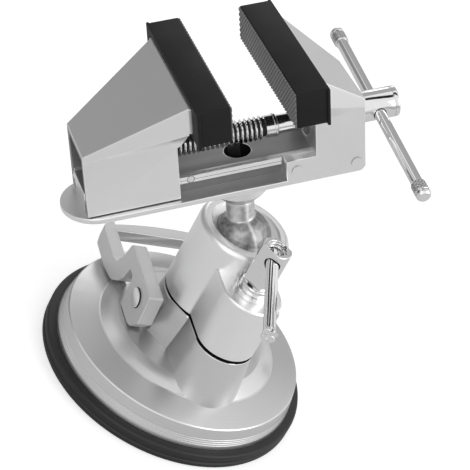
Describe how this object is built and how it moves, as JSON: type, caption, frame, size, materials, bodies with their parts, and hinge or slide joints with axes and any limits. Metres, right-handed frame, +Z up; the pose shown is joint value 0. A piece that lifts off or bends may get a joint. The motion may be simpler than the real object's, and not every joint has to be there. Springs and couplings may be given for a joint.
{
  "type": "suction base vise",
  "caption": "Small swivelling bench vise with rubber jaw caps on a ball joint, held down by a lever-operated suction base.",
  "frame": {"origin": "centre of the suction face that lies on the bench", "axes": "+Z up along the column; X along the locking lever's pin; the clamp boss is toward -Y; the vise head leans as it does in the picture, with its handle toward +X"},
  "size_m": [0.147, 0.1356, 0.1765],
  "materials": {
    "rubber": "matte",
    "cast_metal": "satin",
    "lever_metal": "satin",
    "chrome": "polished",
    "ball_steel": "polished",
    "steel": "brushed",
    "nylon": "matte"
  },
  "bodies": {
    "base": {"suction_pad": "rubber", "base_casting": "cast_metal", "upper_housing": "cast_metal", "clamp_stud": "steel", "clamp_washer": "chrome"},
    "lift": {"pull_stem": "steel", "lever_pin": "steel"},
    "lever": {"lever": "lever_metal"},
    "clamp_nut": {"clamp_nut": "chrome"},
    "clamp_bar": {"clamp_bar": "chrome"},
    "seat": {"ball_seat": "nylon"},
    "ball": {"ball_stud": "ball_steel", "stud_screw": "steel"},
    "head": {"bed_casting": "cast_metal", "front_rail": "steel", "rear_rail": "steel", "rail_pins": "steel", "fixed_jaw_cap": "rubber", "thrust_washer": "steel"},
    "screw": {"lead_screw": "chrome", "screw_hub": "chrome", "retaining_ring": "steel"},
    "handle": {"handle_bar": "chrome", "handle_knobs": "chrome"},
    "jaw": {"moving_jaw": "cast_metal", "jaw_nut": "steel", "moving_jaw_cap": "rubber"}
  },
  "joints": [
    {"name": "pad_lift", "type": "slide", "parent": "base", "child": "lift", "axis": [0, 0, 1], "range_m": [-0.001, 0]},
    {"name": "lever_turn", "type": "hinge", "parent": "lift", "child": "lever", "pos_m": [0, 0, 0.0373], "axis": [1, 0, 0], "range_deg": [0, 70]},
    {"name": "clamp_turn", "type": "hinge", "parent": "base", "child": "clamp_nut", "pos_m": [0, -0.0272, 0.0934], "axis": [0, 0, 1], "range_deg": [-75, 60]},
    {"name": "clamp_bar_slide", "type": "slide", "parent": "clamp_nut", "child": "clamp_bar", "axis": [0.3256, 0.9455, 0], "range_m": [0, 0.006]},
    {"name": "head_swivel", "type": "hinge", "parent": "base", "child": "seat", "pos_m": [0, 0, 0.0797], "axis": [0, 0, 1], "range_deg": [-90, 60]},
    {"name": "head_tilt", "type": "hinge", "parent": "seat", "child": "ball", "pos_m": [0, 0, 0.0797], "axis": [0.3923, 0.9198, 0], "range_deg": [-18, 66]},
    {"name": "head_spin", "type": "hinge", "parent": "ball", "child": "head", "pos_m": [0, 0, 0.0797], "axis": [-0.409, 0.1744, 0.8957], "continuous": true},
    {"name": "screw_turn", "type": "hinge", "parent": "head", "child": "screw", "pos_m": [-0.02114, 0.00902, 0.12601], "axis": [0.9117, 0.0369, 0.4091], "range_deg": [-4320, 4320]},
    {"name": "jaw_slide", "type": "slide", "parent": "head", "child": "jaw", "axis": [0.9117, 0.0369, 0.4091], "range_m": [-0.024, 0.024]},
    {"name": "handle_slide", "type": "slide", "parent": "screw", "child": "handle", "axis": [-0.0309, 0.9993, -0.0214], "range_m": [-0.034, 0.042]}
  ],
  "couplings": [
    {"joint": "pad_lift", "follows": "lever_turn", "m_per_rad": -0.00081851},
    {"joint": "jaw_slide", "follows": "screw_turn", "m_per_rad": -0.00031831}
  ]
}
